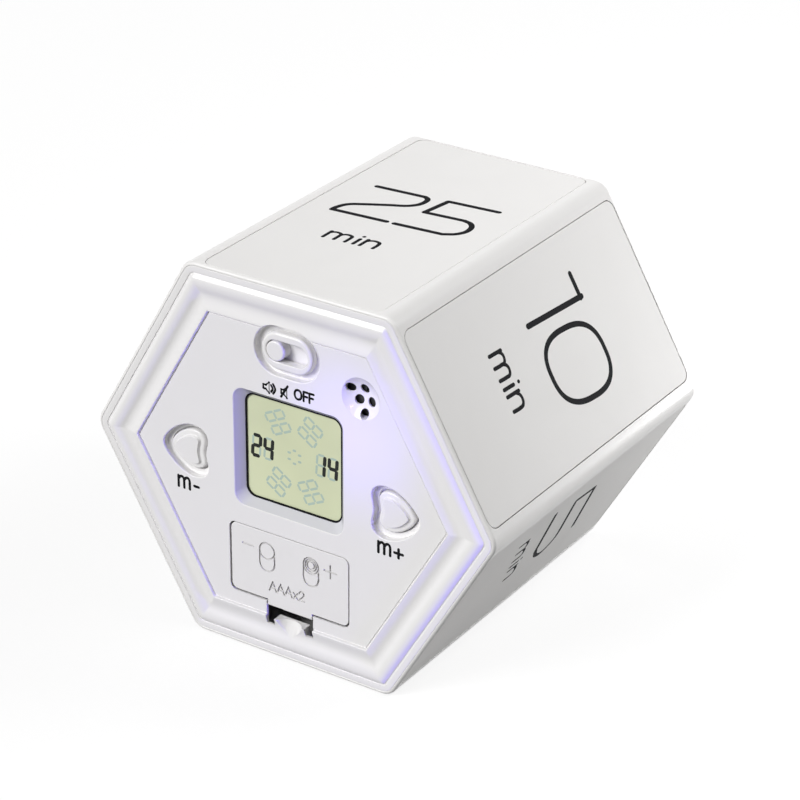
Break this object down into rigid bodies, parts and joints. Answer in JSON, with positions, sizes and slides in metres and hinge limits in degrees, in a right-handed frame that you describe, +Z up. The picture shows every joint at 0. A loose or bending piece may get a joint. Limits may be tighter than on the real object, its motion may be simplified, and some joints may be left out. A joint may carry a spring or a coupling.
{
  "type": "flip timer",
  "caption": "Hexagonal countdown flip timer with a front display, press buttons, sound switch and battery door; it starts by being turned onto a side.",
  "frame": {"origin": "centre of the bounding box's bottom face, on the side that is turned down", "axes": "+Z up, the display looks towards -Y, +X to the right of someone who looks at the display"},
  "size_m": [0.079, 0.0672, 0.0693],
  "materials": {
    "shell_plastic": "satin white moulded plastic",
    "cover_plastic": "white moulded plastic, glossy frame and finely grained panel",
    "rear_plastic": "satin white moulded plastic",
    "lcd_glass": "grey-green display with dark and faint segments",
    "inner_plastic": "matt grey plastic",
    "contact_rubber": "soft banded contact rubber",
    "board_laminate": "green coated laminate",
    "chip_body": "matt black",
    "tinned_metal": "tinned steel",
    "knob_plastic": "satin white plastic",
    "button_plastic": "glossy white plastic",
    "door_plastic": "finely grained white plastic with fine engraved marks",
    "contact_nickel": "nickel plated spring steel",
    "cell_jacket": "plain coloured cell jacket with bare metal ends",
    "lead_red_sleeve": "red wire insulation",
    "lead_black_sleeve": "black wire insulation",
    "screw_steel": "zinc plated steel",
    "side_plate_25": "fine satin white plate with black numerals 25 and min",
    "side_plate_10": "fine satin white plate with black numerals 10 and min",
    "side_plate_5": "fine satin white plate with black numerals 5 and min",
    "side_plate_15": "fine satin white plate with black numerals 15 and min",
    "side_plate_30": "fine satin white plate with black numerals 30 and min",
    "side_plate_50": "fine satin white plate with black numerals 50 and min"
  },
  "bodies": {
    "case": {"hex_shell": "shell_plastic", "front_cover": "cover_plastic", "rear_cover": "rear_plastic", "lcd_panel": "lcd_glass", "lcd_holder": "inner_plastic", "zebra_strip_upper": "contact_rubber", "zebra_strip_lower": "contact_rubber", "main_pcb": "board_laminate", "controller_chip": "chip_body", "tilt_sensor": "chip_body", "crystal": "tinned_metal", "capacitor": "chip_body", "slide_switch_body": "tinned_metal", "tact_body_minus": "tinned_metal", "tact_body_plus": "tinned_metal", "buzzer": "chip_body", "battery_box": "inner_plastic", "cell_left": "cell_jacket", "cell_right": "cell_jacket", "positive_plate": "contact_nickel", "negative_plate": "contact_nickel", "negative_spring": "contact_nickel", "lead_red": "lead_red_sleeve", "lead_black": "lead_black_sleeve", "side_plate_25": "side_plate_25", "side_plate_10": "side_plate_10", "side_plate_5": "side_plate_5", "side_plate_15": "side_plate_15", "side_plate_30": "side_plate_30", "side_plate_50": "side_plate_50", "cover_screw_1": "screw_steel", "cover_screw_2": "screw_steel", "cover_screw_3": "screw_steel", "cover_screw_4": "screw_steel", "rear_screw_1": "screw_steel", "rear_screw_2": "screw_steel", "rear_screw_3": "screw_steel", "rear_screw_4": "screw_steel", "pcb_screw_1": "screw_steel", "pcb_screw_2": "screw_steel", "pcb_screw_3": "screw_steel", "pcb_screw_4": "screw_steel", "box_screw_1": "screw_steel", "box_screw_2": "screw_steel"},
    "minus_button": {"button_minus": "button_plastic", "tact_plunger_minus": "chip_body"},
    "plus_button": {"button_plus": "button_plastic", "tact_plunger_plus": "chip_body"},
    "sound_knob": {"slide_knob": "knob_plastic", "switch_lever": "inner_plastic"},
    "door": {"battery_door": "door_plastic", "bridge_contact": "contact_nickel", "bridge_spring": "contact_nickel"}
  },
  "joints": [
    {"name": "minus_press", "type": "slide", "parent": "case", "child": "minus_button", "axis": [0, 1, 0], "range_m": [0, 0.00035], "stiffness_N_per_m": 400, "springref_m": -0.0005},
    {"name": "plus_press", "type": "slide", "parent": "case", "child": "plus_button", "axis": [0, 1, 0], "range_m": [0, 0.00035], "stiffness_N_per_m": 400, "springref_m": -0.0005},
    {"name": "sound_slide", "type": "slide", "parent": "case", "child": "sound_knob", "axis": [1, 0, 0], "range_m": [0, 0.0044]},
    {"name": "door_hinge", "type": "hinge", "parent": "case", "child": "door", "pos_m": [0, -0.03327, 0.02364], "axis": [-1, 0, 0], "range_deg": [0, 80]}
  ]
}
